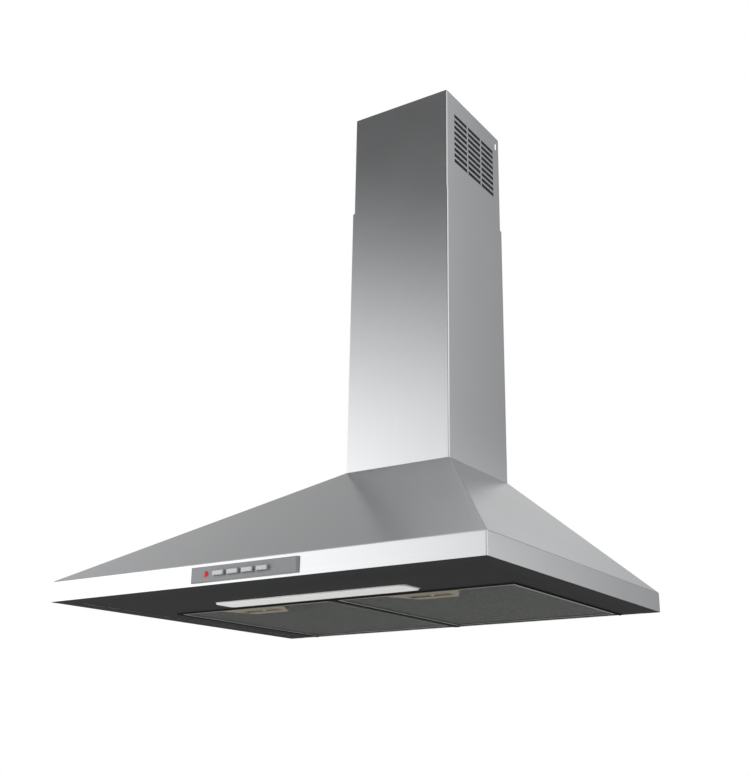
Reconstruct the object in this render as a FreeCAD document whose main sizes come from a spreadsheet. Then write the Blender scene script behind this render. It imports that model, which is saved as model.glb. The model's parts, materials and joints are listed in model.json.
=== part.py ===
import FreeCAD, Part
import math
import os
import re

import Sketcher

# A 600 mm wall-mounted pyramid chimney hood. X runs to the right as seen from the front, Y runs into the
# wall and Z runs up. The origin is on the wall plane, in the middle, level with the bottom of the lip, so
# everything in front of the wall has a negative Y. Sizes are in millimetres.

DIMENSIONS = {
    # Canopy, folded from one gauge of stainless sheet
    "hood_width": 600,
    "hood_depth": 470,
    "lip_height": 25,
    "canopy_height": 200,
    "sheet_gauge": 0.8,
    "fold_radius": 1.5,
    "under_flange": 22,
    "mitre_gap": 0.6,
    "top_flange": 12,
    "fit_gap": 0.2,
    # Chimney covers
    "chimney_width": 167,
    "seam_height": 605,
    "overall_height": 769,
    "upper_length": 400,
    "slide_gap": 0.9,
    "wall_gap": 1.2,
    "corner_radius": 2,
    "rear_return": 12,
    "louvre_rows": 9,
    "louvre_columns": 3,
    "louvre_pitch": 9.5,
    "louvre_spacing": 42,
    "louvre_length": 38,
    "louvre_opening": 5.8,
    "louvre_drop": 32.6,
    "louvre_centre": 82,
    "screen_gauge": 1,
    "screen_margin": 5,
    "slot_width": 6,
    "slot_tall": 11,
    "slot_inset": 10,
    "slot_drop": 16.5,
    # Feet that hold the lower cover on the canopy, and the screws through the top flange
    "foot_gauge": 1.3,
    "foot_rise": 11,
    "foot_length": 130,
    "screw_radius": 1.9,
    "screw_hole": 2.05,
    "screw_head": 3.5,
    "head_height": 2.4,
    "screw_tail": 4,
    "screw_length": 9.6,
    "screw_pitch": 107,
    # Fixings in the back panel
    "fixing_spacing": 260,
    "fixing_height": 120,
    "fixing_radius": 4.5,
    "lower_spacing": 400,
    "lower_height": 40,
    "lower_radius": 2.75,
    "hanger_width": 44,
    "hanger_tall": 36,
    "hanger_gauge": 2.5,
    "ear_reach": 16,
    "levelling_radius": 3,
    "levelling_length": 11,
    # Underside liner and its recesses
    "recess_half": 246,
    "recess_front": 308,
    "recess_rear": 2.4,
    "recess_rise": 10,
    "ledge_width": 13,
    "rim_width": 1.2,
    "rim_drop": 0.9,
    "divider_width": 18,
    "divider_gauge": 1.2,
    "divider_gap": 1.2,
    # Grease filters
    "filter_split": 10,
    "filter_gap": 1.5,
    "filter_front": 304,
    "filter_rear": 13,
    "filter_thick": 9.5,
    "frame_lip": 3.5,
    "frame_gauge": 0.8,
    "frame_radius": 1.6,
    "mesh_gap": 0.15,
    "mesh_set_back": 0.9,
    "mesh_skin": 1,
    "mesh_rim": 4,
    "hinge_depth": 7,
    "hinge_height": 6,
    "pin_radius": 2,
    "pin_length": 20,
    "pin_clearance": 0.05,
    "neck_width": 14,
    "neck_gauge": 1.4,
    "hook_radius": 4.4,
    "hook_width": 24,
    "hook_opening": 22,
    "tab_spacing": 150,
    # Filter latches
    "latch_offset": 125,
    "latch_width": 100,
    "latch_rear_width": 52,
    "latch_depth": 42,
    "latch_drop": 1,
    "latch_top": 8.5,
    "latch_radius": 1.2,
    "pocket_width": 56,
    "pocket_front": 6,
    "pocket_rear": 14,
    "pocket_ceiling": 2.5,
    "grip_depth": 10,
    "grip_height": 5,
    "tongue_width": 20,
    "tongue_height": 3,
    "tongue_reach": 3.5,
    "spring_radius": 1.7,
    "spring_wire": 0.35,
    "spring_turns": 5,
    # Lamp
    "lamp_width": 277,
    "lamp_depth": 35,
    "lamp_front": 360,
    "lamp_gap": 2,
    "lens_drop": 1,
    "lens_gauge": 2,
    "lens_corner": 8,
    "lens_edge": 0.9,
    "lens_hinge_inset": 4.5,
    "lens_hinge_height": 3.2,
    "lens_pin_radius": 1.5,
    "lens_lug": 3,
    "tray_gauge": 1,
    "tray_top": 46,
    "tray_flange": 8,
    "lampholder_radius": 14,
    "lampholder_length": 30,
    "bulb_height": 24,
    "bulb_radius": 12.5,
    "bulb_length": 66,
    "cap_radius": 6.9,
    "cap_length": 16,
    # Control strip
    "bezel_place": 2.5,
    "bezel_width": 150,
    "bezel_height": 17,
    "bezel_centre": 12.2,
    "bezel_proud": 3.3,
    "bezel_lap": 4.5,
    "bezel_bevel": 2.2,
    "skirt_gauge": 1.2,
    "skirt_depth": 4,
    "key_width": 15.4,
    "key_height": 5.4,
    "key_pitch": 20.4,
    "key_first": -29.8,
    "key_centre": 12,
    "key_proud": 3.3,
    "key_gap": 0.25,
    "key_radius": 0.8,
    "key_travel": 3,
    "stem_depth": 12,
    "stem_step": 0.8,
    "pilot_radius": 3.2,
    "pilot_place": -48.8,
    "pilot_proud": 2,
    "collar_gauge": 0.8,
    "collar_step": 0.6,
    "switch_half": 69,
    "switch_depth": 36,
    "switch_height": 15,
    # Blower: a volute of quarter arcs round a double-inlet fan
    "scroll_radius": 70,
    "scroll_step": 7,
    "scroll_wall": 2,
    "scroll_half": 53,
    "scroll_base": 20,
    "outlet_top": 180,
    "inlet_radius": 51,
    "ear_radius": 6,
    "ear_gauge": 5,
    "ear_offset": 4,
    "ear_high": 165,
    "fan_radius": 62,
    "fan_half": 45,
    "fan_ring": 11,
    "fan_ring_gauge": 2,
    "blade_count": 32,
    "blade_gauge": 1,
    "blade_lean": 5,
    "hub_radius": 12,
    "hub_length": 16,
    "nut_radius": 8,
    "nut_height": 6,
    "shaft_radius": 4,
    "shaft_inboard": 18,
    "motor_radius": 40,
    "motor_start": 10,
    "motor_length": 50,
    "motor_edge": 4,
    "bracket_gauge": 2,
    "bracket_radius": 26,
    "bracket_arm": 14,
    "grommet_radius": 6,
    "grommet_place": 59,
    # Outlet
    "plate_gauge": 1.5,
    "plate_margin": 3.5,
    "duct_radius": 60,
    "spigot_wall": 2,
    "spigot_step": 1.5,
    "spigot_shoulder": 212,
    "spigot_top": 250,
    "spigot_flange": 72,
    "spigot_screw": 66,
    "outlet_screw": 30,
    "skirt_wall": 1.5,
    "skirt_drop": 22,
    "flap_height": 226,
    "flap_gauge": 1.2,
    "flap_gap": 0.6,
    "flap_pin": 1.5,
    "knuckle_radius": 3,
    "knuckle_start": 5,
    "knuckle_length": 15,
    "stop_width": 2.5,
    "stop_gauge": 2,
    "rest_gap": 0.1,
    # Electrical pieces on the back panel and the blower plate
    "gland_across": 58,
    "gland_depth": 24,
    "gland_radius": 8,
    "gland_shank": 6,
    "gland_bore": 4.25,
    "gland_top": 214,
    "gland_barb": 6.8,
    "gland_barb_height": 6,
    "box_place": 140,
    "box_width": 50,
    "box_depth": 34,
    "box_base": 45,
    "box_height": 45,
    "box_wall": 2,
    "strip_width": 32,
    "strip_depth": 14,
    "strip_height": 12,
    "capacitor_place": 140,
    "capacitor_height": 65,
    "capacitor_radius": 15,
    "capacitor_length": 50,
    "clip_gauge": 1.5,
    "clip_width": 16,
    "clip_reach": 27,
}

Vector = FreeCAD.Vector
doc = FreeCAD.newDocument("chimney_hood")
sheet = doc.addObject("Spreadsheet::Sheet", "Dims")
for row, (alias, number) in enumerate(DIMENSIONS.items(), start=1):
    sheet.set(f"A{row}", alias)
    sheet.set(f"B{row}", str(number))
    sheet.setAlias(f"B{row}", alias)
doc.recompute()

nodes = []

# Places that several pieces share, as expressions in the sheet's names
RISE = "(canopy_height - lip_height)"
FRONT_RUN = "(hood_depth - chimney_width)"
SIDE_RUN = "((hood_width - chimney_width) / 2)"
FRONT_SKIN = f"(sheet_gauge * sqrt({RISE}^2 + {FRONT_RUN}^2) / {RISE})"
SIDE_SKIN = f"(sheet_gauge * sqrt({RISE}^2 + {SIDE_RUN}^2) / {RISE})"
TOP_SIDE = f"(chimney_width / 2 + {SIDE_RUN} * sheet_gauge / {RISE} - {SIDE_SKIN})"
TOP_FRONT = f"(chimney_width + {FRONT_RUN} * sheet_gauge / {RISE} - {FRONT_SKIN})"
DUCT_Y = "(-chimney_width / 2)"
LINER_TOP = "(2 * sheet_gauge)"
LEDGE_TOP = "(recess_rise + sheet_gauge)"
FILTER_EDGE = "(recess_half - filter_gap)"
FACE_Y = "(-hood_depth - bezel_proud)"
SWITCH_Y = "(-hood_depth + skirt_depth)"
LAMP_Y = "(-lamp_front + lamp_depth / 2)"
LENS_HINGE_Y = "(-lamp_front + lamp_depth - lens_hinge_inset)"
OUTLET_DEEP = "(scroll_radius + 3 * scroll_step)"
OUTLET_FRONT = f"({DUCT_Y} - {OUTLET_DEEP} / 2)"
FAN_Y = f"({OUTLET_FRONT} + scroll_step / 2)"
FAN_Z = "(scroll_base + scroll_radius + scroll_step * 1.5)"
HOUSING_SIDE = "(scroll_half + scroll_wall)"
PLATE_TOP = "(canopy_height - sheet_gauge)"
PLATE_BASE = f"({PLATE_TOP} - plate_gauge)"
SPIGOT_BASE = f"({PLATE_BASE} - spigot_wall)"
UPPER_HALF = "(chimney_width / 2 - sheet_gauge - slide_gap)"
UPPER_FRONT = "(chimney_width - sheet_gauge - slide_gap)"
UPPER_BASE = "(overall_height - upper_length)"
SCREW_X = "(chimney_width / 2 - top_flange / 2)"
SCREW_YS = [f"({DUCT_Y} - screw_pitch / 2)", f"({DUCT_Y} + screw_pitch / 2)"]
MOTOR_END = "(motor_start + motor_length)"
LEVELLING_Y = "(-sheet_gauge - ear_reach / 2 - hanger_gauge / 2)"
SCROLL_Z = "(scroll_base + scroll_radius + scroll_step)"
OUTLET_REAR = f"({OUTLET_FRONT} + {OUTLET_DEEP})"
EAR_REACH = "(scroll_radius + scroll_wall + ear_offset)"
DIAGONAL = "sqrt(0.5)"


# ---- Helpers -------------------------------------------------------------------------------------------

def value(name):
    """A driving dimension, read from the sheet."""
    return float(sheet.get(name))


def bound(text):
    """The expression with every driving dimension written as its cell."""
    def cell(word):
        return "Dims." + word.group() if word.group() in DIMENSIONS else word.group()
    return re.sub(r"[a-z][a-z_]*", cell, text)


def bind(item, **sizes):
    """Ties properties of an item to expressions."""
    for name, text in sizes.items():
        item.setExpression(name, bound(text))
    return item


def place(item, x, y, z):
    """Ties an item's place to expressions."""
    for axis, text in zip("xyz", (x, y, z)):
        item.setExpression(f"Placement.Base.{axis}", bound(text))
    return item


def block(name, x, y, z):
    """A box between a low and a high value along each axis."""
    item = doc.addObject("Part::Box", name)
    for side, (low, high) in zip(("Length", "Width", "Height"), (x, y, z)):
        item.setExpression(side, bound(f"({high}) - ({low})"))
    return place(item, x[0], y[0], z[0])


AXIS_TURN = {
    "x": FreeCAD.Rotation(Vector(0, 1, 0), 90),
    "y": FreeCAD.Rotation(Vector(1, 0, 0), -90),
    "z": FreeCAD.Rotation(),
}


def rod(name, axis, radius, span, centre):
    """A cylinder along an axis, between the span's two ends, round a centre on the other two axes."""
    item = doc.addObject("Part::Cylinder", name)
    item.Placement.Rotation = AXIS_TURN[axis]
    bind(item, Radius=radius, Height=f"({span[1]}) - ({span[0]})")
    other = iter(centre)
    return place(item, *[span[0] if letter == axis else next(other) for letter in "xyz"])


def flank(side, near, far):
    """The span along X between near and far, on the right for side 1 and on the left for side -1."""
    return (near, far) if side > 0 else (f"-({far})", f"-({near})")


def across(centre, half):
    """The span of a half width to both sides of a centre."""
    return f"{centre} - ({half})", f"{centre} + ({half})"


def wedge(name, front, rear, y, z):
    """A prism along Z whose span along X changes from its front to its rear."""
    item = doc.addObject("Part::Wedge", name)
    return bind(item, Xmin=front[0], Xmax=front[1], X2min=rear[0], X2max=rear[1], Ymin=y[0], Ymax=y[1],
                Zmin=z[0], Zmax=z[1], Z2min=z[0], Z2max=z[1])


def ball(name, radius, x, y, z):
    """A sphere round a centre."""
    item = doc.addObject("Part::Sphere", name)
    return place(bind(item, Radius=radius), x, y, z)


def screw(name, axis, shank, head, centre):
    """A screw along an axis, from the spans of its shank and head."""
    return fused(name, rod(name + "Shank", axis, "screw_radius", shank, centre),
                 rod(name + "Head", axis, "screw_head", head, centre))


def fused(name, *pieces):
    """Pieces joined into one solid."""
    item = doc.addObject("Part::MultiFuse", name)
    item.Shapes = list(pieces)
    item.Refine = True
    return item


def cut(name, base, *tools):
    """The base without the tools."""
    item = doc.addObject("Part::Cut", name)
    item.Base = base
    item.Tool = tools[0] if len(tools) == 1 else group(name + "_tools", *tools)
    item.Refine = True
    return item


def common(name, *pieces):
    """What all the pieces share."""
    item = doc.addObject("Part::MultiCommon", name)
    item.Shapes = list(pieces)
    return item


def group(name, *pieces):
    """Separate solids kept in one item."""
    item = doc.addObject("Part::Compound", name)
    item.Links = list(pieces)
    return item


def node(label, item):
    """Names an item as one of the hood's sub-parts."""
    item.Label = label
    nodes.append(item)
    return item


def new_body(name):
    return doc.addObject("PartDesign::Body", name)


def new_sketch(body, name, role, offset="0"):
    """A sketch on one of the body's own origin planes, moved along that plane's normal."""
    item = body.newObject("Sketcher::SketchObject", name)
    support = next(f for f in body.Origin.OriginFeatures if f.Role == role)
    item.AttachmentSupport = (support, [""])
    item.MapMode = "FlatFace"
    item.setExpression("AttachmentOffset.Base.z", bound(offset))
    return item


def tie(sketch, curve, point, x, y):
    """Ties a sketch point to its distances from the sketch's origin."""
    for kind, text in (("DistanceX", x), ("DistanceY", y)):
        index = sketch.addConstraint(Sketcher.Constraint(kind, -1, 1, curve, point, 1.0))
        sketch.setExpression(f"Constraints[{index}]", bound(text))


def polygon(sketch, points):
    """A closed outline through points given as pairs of expressions."""
    first = sketch.GeometryCount
    count = len(points)
    turns = [2 * math.pi * k / count for k in range(count + 1)]
    ring = [Vector(math.cos(turn), math.sin(turn), 0) for turn in turns]
    for k in range(count):
        sketch.addGeometry(Part.LineSegment(ring[k], ring[k + 1]), False)
    for k in range(count):
        sketch.addConstraint(Sketcher.Constraint("Coincident", first + k, 2, first + (k + 1) % count, 1))
        tie(sketch, first + k, 1, *points[k])


def rectangle(sketch, x, y):
    """A rectangle between a low and a high value along each sketch axis."""
    polygon(sketch, [(x[0], y[0]), (x[1], y[0]), (x[1], y[1]), (x[0], y[1])])


def circle(sketch, x, y, radius):
    """A circle tied to its centre and radius."""
    curve = sketch.addGeometry(Part.Circle(Vector(1, 1, 0), Vector(0, 0, 1), 1), False)
    tie(sketch, curve, 3, x, y)
    index = sketch.addConstraint(Sketcher.Constraint("Radius", curve, 1.0))
    sketch.setExpression(f"Constraints[{index}]", bound(radius))


def feature(body, kind, name, sketch, length=None, reverse=False):
    """A pad or pocket of a sketch; with no length a pocket goes through everything."""
    item = body.newObject("PartDesign::" + kind, name)
    item.Profile = sketch
    item.Reversed = reverse
    if length is None:
        item.Type = "ThroughAll"
    else:
        item.setExpression("Length", bound(length))
    return item


def edges(item, wanted):
    """Names of the edges whose two ends and direction pass a test."""
    found = []
    for index, edge in enumerate(item.Shape.Edges, start=1):
        ends = [vertex.Point for vertex in edge.Vertexes]
        if wanted(ends[0], ends[-1]):
            found.append(f"Edge{index}")
    return found


def rounded(body, kind, name, wanted, size):
    """A fillet or chamfer on the edges of the body's last feature that pass a test."""
    doc.recompute()
    base = body.Tip
    item = body.newObject("PartDesign::" + kind, name)
    item.Base = (base, edges(base, wanted))
    item.setExpression("Radius" if kind == "Fillet" else "Size", bound(size))
    return item


def along(axis, low=1.0):
    """A test for edges that run along one axis for more than a short way."""
    others = [letter for letter in "xyz" if letter != axis]

    def wanted(a, b):
        level = all(abs(getattr(a, letter) - getattr(b, letter)) < 1e-6 for letter in others)
        return level and abs(getattr(a, axis) - getattr(b, axis)) > low
    return wanted


# ---- Canopy --------------------------------------------------------------------------------------------

def canopy_shell():
    """The folded pyramid on its lip, open at the back, with a return flange below and one on top."""
    body = new_body("CanopyShell")
    half, deep = "hood_width / 2", "hood_depth"
    foot = new_sketch(body, "LipOutline", "XY_Plane")
    rectangle(foot, (f"-{half}", half), (f"-{deep}", "0"))
    feature(body, "Pad", "Lip", foot, "lip_height")
    low = new_sketch(body, "SlopeFoot", "XY_Plane", "lip_height")
    rectangle(low, (f"-{half}", half), (f"-{deep}", "0"))
    high = new_sketch(body, "SlopeHead", "XY_Plane", "canopy_height")
    rectangle(high, ("-chimney_width / 2", "chimney_width / 2"), ("-chimney_width", "0"))
    slope = body.newObject("PartDesign::AdditiveLoft", "Slope")
    slope.Profile = low
    slope.Sections = [high]
    slope.Ruled = True

    def outer_fold(a, b):
        behind = a.y > -1 and b.y > -1
        flat_end = a.z == b.z and (a.z < 1 or a.z > value("canopy_height") - 1)
        return not behind and not flat_end
    rounded(body, "Fillet", "Folds", outer_fold, "fold_radius")

    inner_low = new_sketch(body, "HollowFoot", "XY_Plane", "lip_height")
    rectangle(inner_low, (f"-({half} - {SIDE_SKIN})", f"{half} - {SIDE_SKIN}"),
              (f"-({deep} - {FRONT_SKIN})", "sheet_gauge"))
    inner_high = new_sketch(body, "HollowHead", "XY_Plane", PLATE_TOP)
    rectangle(inner_high, (f"-{TOP_SIDE}", TOP_SIDE), (f"-{TOP_FRONT}", "sheet_gauge"))
    hollow = body.newObject("PartDesign::SubtractiveLoft", "Hollow")
    hollow.Profile = inner_low
    hollow.Sections = [inner_high]
    hollow.Ruled = True
    inner_lip = new_sketch(body, "LipHollow", "XY_Plane", "sheet_gauge")
    rectangle(inner_lip, (f"-({half} - sheet_gauge)", f"{half} - sheet_gauge"),
              (f"-({deep} - sheet_gauge)", "sheet_gauge"))
    feature(body, "Pocket", "LipPocket", inner_lip, "lip_height - sheet_gauge", reverse=True)
    under = new_sketch(body, "UnderOpening", "XY_Plane")
    rectangle(under, (f"-({half} - under_flange)", f"{half} - under_flange"),
              (f"-({deep} - under_flange)", "sheet_gauge"))
    feature(body, "Pocket", "UnderPocket", under, "sheet_gauge", reverse=True)
    top = new_sketch(body, "TopOpening", "XY_Plane", "canopy_height")
    rectangle(top, ("-(chimney_width / 2 - top_flange)", "chimney_width / 2 - top_flange"),
              ("-(chimney_width - top_flange)", "sheet_gauge"))
    for side in ("-", ""):
        for y in SCREW_YS:
            circle(top, side + SCREW_X, y, "screw_hole")
    feature(body, "Pocket", "TopPocket", top, "sheet_gauge")
    window = new_sketch(body, "ControlWindow", "XZ_Plane", deep)
    rectangle(window, across("bezel_place", "bezel_width / 2 - bezel_lap"),
              ("bezel_centre - bezel_height / 2 + bezel_lap / 2",
               "bezel_centre + bezel_height / 2 - bezel_lap / 2"))
    feature(body, "Pocket", "ControlPocket", window, "sheet_gauge")
    body.Tip = body.Group[-1]

    slits = []
    for side in (-1, 1):
        slit = doc.addObject("Part::Box", "MitreSlit")
        slit.Placement.Rotation = FreeCAD.Rotation(Vector(0, 0, 1), 45 if side < 0 else 135)
        bind(slit, Length="under_flange * 2", Width="mitre_gap", Height="sheet_gauge")
        place(slit, f"{side} * (hood_width / 2 - fold_radius)", "-hood_depth + fold_radius", "0")
        slits.append(slit)
    node("canopy_shell", cut("CanopyWithMitres", body, *slits))


def back_panel():
    """The panel that closes the canopy at the wall; it stands on the under flange and has one on top."""
    body = new_body("BackPanel")
    outline = new_sketch(body, "PanelOutline", "XZ_Plane")
    low = "(hood_width / 2 - sheet_gauge - fit_gap)"
    mid = f"(hood_width / 2 - {SIDE_SKIN} - fit_gap)"
    high = f"({TOP_SIDE} - fit_gap)"
    step = "(lip_height - sheet_gauge)"
    foot = "(hood_width / 2 - under_flange - fit_gap)"
    right = [(foot, "0"), (foot, "sheet_gauge"), (low, "sheet_gauge"), (low, step), (mid, "lip_height"),
             (high, PLATE_TOP)]
    polygon(outline, right + [(f"-{x}", z) for x, z in reversed(right)])
    feature(body, "Pad", "Panel", outline, "sheet_gauge")
    flange = new_sketch(body, "FlangeOutline", "XY_Plane", "canopy_height")
    inner = "(chimney_width / 2 - top_flange - fit_gap)"
    rectangle(flange, (f"-{inner}", inner), ("-top_flange", "0"))
    feature(body, "Pad", "Flange", flange, "sheet_gauge", reverse=True)
    holes = new_sketch(body, "FixingHoles", "XZ_Plane")
    for side in ("-", ""):
        circle(holes, f"{side}fixing_spacing / 2", "fixing_height", "fixing_radius")
        circle(holes, f"{side}lower_spacing / 2", "lower_height", "lower_radius")
    feature(body, "Pocket", "FixingPockets", holes, "sheet_gauge", reverse=True)
    node("back_panel", body)


def hangers():
    """Thick plates behind the wall fixing holes, each with an ear that holds a levelling screw."""
    for side, label in (("-", "left"), ("", "right")):
        x = f"({side}fixing_spacing / 2)"
        plate = block("HangerPlate", (f"{x} - hanger_width / 2", f"{x} + hanger_width / 2"),
                      ("-sheet_gauge - hanger_gauge", "-sheet_gauge"),
                      ("fixing_height - hanger_tall / 2", "fixing_height + hanger_tall / 2"))
        ear = block("HangerEar", (f"{x} - ear_reach / 2", f"{x} + ear_reach / 2"),
                    ("-sheet_gauge - ear_reach", "-sheet_gauge - hanger_gauge"),
                    ("fixing_height + hanger_tall / 2 - hanger_gauge", "fixing_height + hanger_tall / 2"))
        hole = rod("HangerHole", "y", "fixing_radius", ("-2 * ear_reach", "0"), (x, "fixing_height"))
        thread = rod("LevellingHole", "z", "levelling_radius + pin_clearance",
                     ("fixing_height", "canopy_height"), (x, LEVELLING_Y))
        node(f"hanger_{label}", cut("Hanger", fused("HangerSolid", plate, ear), hole, thread))
    screws = []
    for side in ("-", ""):
        x = f"({side}fixing_spacing / 2)"
        top = "fixing_height + hanger_tall / 2 + head_height"
        screws.append(rod("LevellingScrew", "z", "levelling_radius", (f"{top} - levelling_length", top),
                          (x, LEVELLING_Y)))
    node("levelling_screws", group("LevellingScrews", *screws))


# ---- Chimney covers ------------------------------------------------------------------------------------

def cover(body, half, front, rear, base, height, return_width):
    """A folded cover with two round corners; its back is open between the returns."""
    outline = new_sketch(body, "CoverOutline", "XY_Plane", base)
    rectangle(outline, (f"-{half}", half), (f"-{front}", f"-{rear}"))
    feature(body, "Pad", "CoverBlock", outline, height)

    def front_corner(a, b):
        return along("z")(a, b) and a.y < -value("chimney_width") / 2
    rounded(body, "Fillet", "OuterBends", front_corner, "corner_radius")
    inside = new_sketch(body, "CoverHollow", "XY_Plane", base)
    rear_face = f"-{rear} - sheet_gauge" if return_width else "sheet_gauge"
    rectangle(inside, (f"-({half} - sheet_gauge)", f"{half} - sheet_gauge"),
              (f"-({front} - sheet_gauge)", rear_face))
    feature(body, "Pocket", "CoverPocket", inside, None, reverse=True)
    doc.recompute()
    inner_face = body.Tip.Shape.BoundBox.YMin + value("sheet_gauge")

    def inner_corner(a, b):
        return along("z")(a, b) and abs(a.y - inner_face) < 0.01
    rounded(body, "Fillet", "InnerBends", inner_corner, "corner_radius - sheet_gauge")
    if return_width:
        gap = new_sketch(body, "BackOpening", "XY_Plane", base)
        rectangle(gap, (f"-({half} - {return_width})", f"{half} - {return_width}"),
                  (f"-{rear} - 2 * sheet_gauge", "sheet_gauge"))
        feature(body, "Pocket", "BackPocket", gap, None, reverse=True)


def lower_chimney():
    body = new_body("LowerChimney")
    cover(body, "(chimney_width / 2)", "chimney_width", "0", "canopy_height",
          "seam_height - canopy_height", "rear_return")
    node("lower_chimney", body)


def upper_chimney():
    """The telescoping cover, with louvres and a fixing slot through both sides, and its blank screens."""
    body = new_body("UpperChimney")
    cover(body, UPPER_HALF, UPPER_FRONT, "wall_gap", UPPER_BASE, "upper_length", None)
    tools = []
    reach = ("-chimney_width", "chimney_width")
    for column in range(int(value("louvre_columns"))):
        shift = f"({column} - (louvre_columns - 1) / 2)"
        y = f"(-louvre_centre + {shift} * louvre_spacing)"
        for row in range(int(value("louvre_rows"))):
            z = f"(overall_height - louvre_drop - {row} * louvre_pitch)"
            tools.append(block("Louvre", reach, (f"{y} - louvre_length / 2", f"{y} + louvre_length / 2"),
                               (f"{z} - louvre_opening / 2", f"{z} + louvre_opening / 2")))
    z = "(overall_height - slot_drop)"
    tools.append(block("FixingSlot", reach, ("-slot_inset - slot_width / 2", "-slot_inset + slot_width / 2"),
                       (f"{z} - slot_tall / 2", f"{z} + slot_tall / 2")))
    node("upper_chimney", cut("UpperWithLouvres", body, *tools))

    reach = "((louvre_columns - 1) / 2 * louvre_spacing + louvre_length / 2 + screen_margin)"
    top = "(overall_height - louvre_drop + louvre_opening / 2 + screen_margin)"
    drop = "((louvre_rows - 1) * louvre_pitch + louvre_opening + 2 * screen_margin)"
    face = f"({UPPER_HALF} - sheet_gauge)"
    screens = [block("LouvreScreen", flank(side, f"{face} - screen_gauge", face),
                     (f"-louvre_centre - {reach}", f"-louvre_centre + {reach}"), (f"{top} - {drop}", top))
               for side in (-1, 1)]
    node("louvre_screens", group("LouvreScreens", *screens))


def chimney_feet():
    """Angle brackets on the canopy's top flange that hold the lower cover."""
    y = (f"{DUCT_Y} - foot_length / 2", f"{DUCT_Y} + foot_length / 2")
    face = "(chimney_width / 2 - sheet_gauge - fit_gap)"
    feet = []
    for side in (-1, 1):
        leg = block("FootLeg", flank(side, "chimney_width / 2 - top_flange + fit_gap", face), y,
                    ("canopy_height", "canopy_height + foot_gauge"))
        wall = block("FootWall", flank(side, f"{face} - foot_gauge", face), y,
                     ("canopy_height", "canopy_height + foot_rise"))
        holes = [rod("FootHole", "z", "screw_hole", ("canopy_height - 1", "canopy_height + foot_rise"),
                     (f"{side} * {SCREW_X}", hole_y)) for hole_y in SCREW_YS]
        feet.append(cut("Foot", fused("FootSolid", leg, wall), *holes))
    node("chimney_feet", group("ChimneyFeet", *feet))


# ---- Underside -----------------------------------------------------------------------------------------

def underside_liner():
    """The pan on the return flange, with a rimmed recess for the filters, and the bar that divides it."""
    half = "(hood_width / 2 - sheet_gauge - fit_gap)"
    deep = "(hood_depth - sheet_gauge - fit_gap)"
    pan = block("Pan", (f"-{half}", half), (f"-{deep}", "-sheet_gauge - fit_gap"), ("sheet_gauge", LINER_TOP))
    recess = block("Recess", ("-recess_half", "recess_half"), ("-recess_front", "-recess_rear"),
                   ("0", LINER_TOP))
    lamp = block("LampSlot", ("-lamp_width / 2 - lamp_gap / 2", "lamp_width / 2 + lamp_gap / 2"),
                 ("-lamp_front - lamp_gap", "-lamp_front + lamp_depth + lamp_gap"), ("0", LINER_TOP))
    rim = block("RimOuter", ("-recess_half - sheet_gauge", "recess_half + sheet_gauge"),
                ("-recess_front - sheet_gauge", "-recess_rear + sheet_gauge"), ("sheet_gauge", LEDGE_TOP))
    well = block("RimInner", ("-recess_half", "recess_half"), ("-recess_front", "-recess_rear"),
                 ("0", "recess_rise"))
    window = block("RimWindow", ("-recess_half + ledge_width", "recess_half - ledge_width"),
                   ("-recess_front + ledge_width", "-recess_rear"), ("0", f"2 * {LEDGE_TOP}"))
    walls = cut("RimCut", rim, well, window)
    bead = block("BeadOuter", ("-recess_half - rim_width", "recess_half + rim_width"),
                 ("-recess_front - rim_width", "-recess_rear"), ("-rim_drop", LINER_TOP))
    inside = block("BeadInner", ("-recess_half", "recess_half"), ("-recess_front", "-recess_rear"),
                   ("-rim_drop", LINER_TOP))
    node("underside_liner", fused("Liner", cut("PanCut", pan, recess, lamp), walls, cut("Bead", bead, inside)))

    wall = "(filter_split / 2 - divider_gap)"
    top = f"({LEDGE_TOP} + divider_gauge)"
    brim = block("DividerBrim", ("-divider_width / 2", "divider_width / 2"),
                 ("-recess_front", "-recess_rear + sheet_gauge"), (LEDGE_TOP, top))
    channel = block("DividerChannel", (f"-{wall}", wall), ("-recess_front", "-recess_rear"), ("-rim_drop", top))
    trough = block("DividerTrough", (f"-{wall} + divider_gauge", f"{wall} - divider_gauge"),
                   ("-recess_front", "-recess_rear + sheet_gauge"), ("-rim_drop + divider_gauge", top))
    notch = block("DividerNotch", (f"-{wall}", wall), ("-recess_front", "-recess_front + ledge_width"),
                  ("recess_rise", LEDGE_TOP))
    node("filter_divider", cut("Divider", fused("DividerSolid", brim, channel), trough, notch))


def tab_places(side):
    """Places along X of the two rear tabs of one filter."""
    middle = f"(filter_split / 2 + {FILTER_EDGE}) / 2"
    return [f"({side} * {middle} {sign} tab_spacing / 2)" for sign in "-+"]


def filter_hooks():
    """Open cups on the liner's rear wall; each one carries the round tab of a filter."""
    hooks = []
    for side in (-1, 1):
        for x in tab_places(side):
            span = (f"{x} - hook_width / 2", f"{x} + hook_width / 2")
            shell = rod("HookRound", "x", "hook_radius", span, ("-hinge_depth", "hinge_height"))
            back = block("HookBack", span, ("-hinge_depth", "-recess_rear"),
                         ("hinge_height", "hinge_height + hook_radius"))
            bore = rod("HookBore", "x", "pin_radius + pin_clearance",
                       (f"{x} - hook_width", f"{x} + hook_width"), ("-hinge_depth", "hinge_height"))
            mouth = doc.addObject("Part::Box", "HookMouth")
            mouth.Placement.Rotation = FreeCAD.Rotation(Vector(1, 0, 0), 180)
            mouth.setExpression("Placement.Rotation.Angle", bound("180 - hook_opening"))
            bind(mouth, Length="hook_width", Width="2 * hook_radius", Height="2 * hook_radius")
            place(mouth, span[0], "-hinge_depth", "hinge_height")
            hooks.append(cut("Hook", fused("HookSolid", shell, back), bore, mouth))
    node("filter_hooks", group("FilterHooks", *hooks))


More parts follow.
